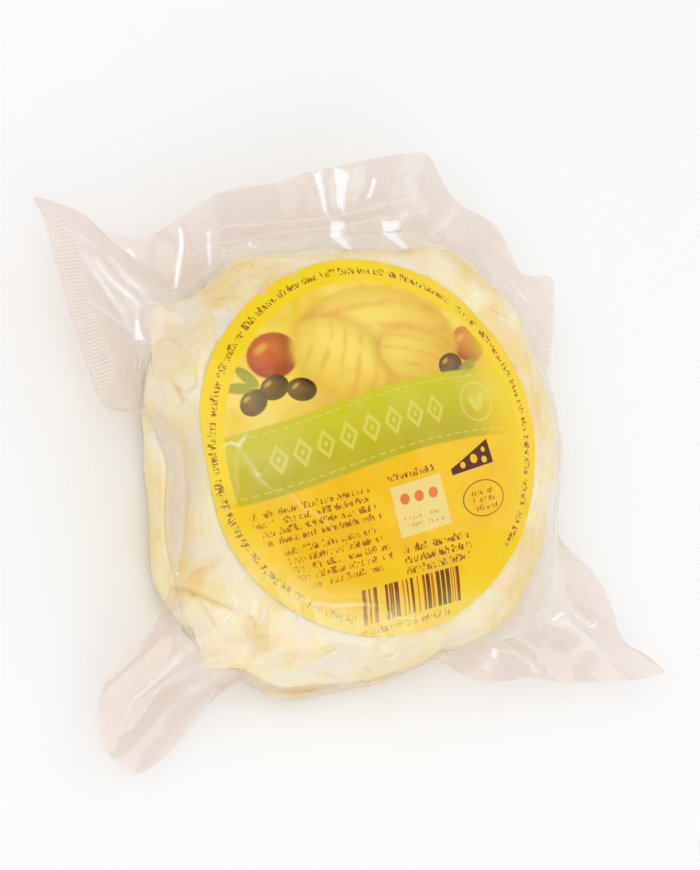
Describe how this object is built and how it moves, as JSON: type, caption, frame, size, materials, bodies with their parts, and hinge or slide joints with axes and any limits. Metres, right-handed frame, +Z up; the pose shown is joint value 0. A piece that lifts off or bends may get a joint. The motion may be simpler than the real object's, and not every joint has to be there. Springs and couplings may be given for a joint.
{
  "type": "vacuum-packed oaxaca cheese",
  "caption": "Round puck of pulled-curd oaxaca cheese in a clear vacuum pouch with ribbed side seals, four film ears and a round yellow label.",
  "frame": {"origin": "middle of the pack's flat underside, on the surface it lies on, under the middle of the puck", "axes": "+Z up through the label, +Y towards the pouch's mouth seal, +X to the right as the label is read"},
  "size_m": [0.146, 0.14, 0.0341],
  "materials": {
    "cheese": "soft satin pulled curd, cream to pale yellow",
    "film": "clear glossy vacuum film, creased",
    "label_print": "glossy printed film, yellow with a green band"
  },
  "bodies": {
    "root": {"sealed_pouch": "cheese", "label": "label_print"}
  },
  "joints": []
}
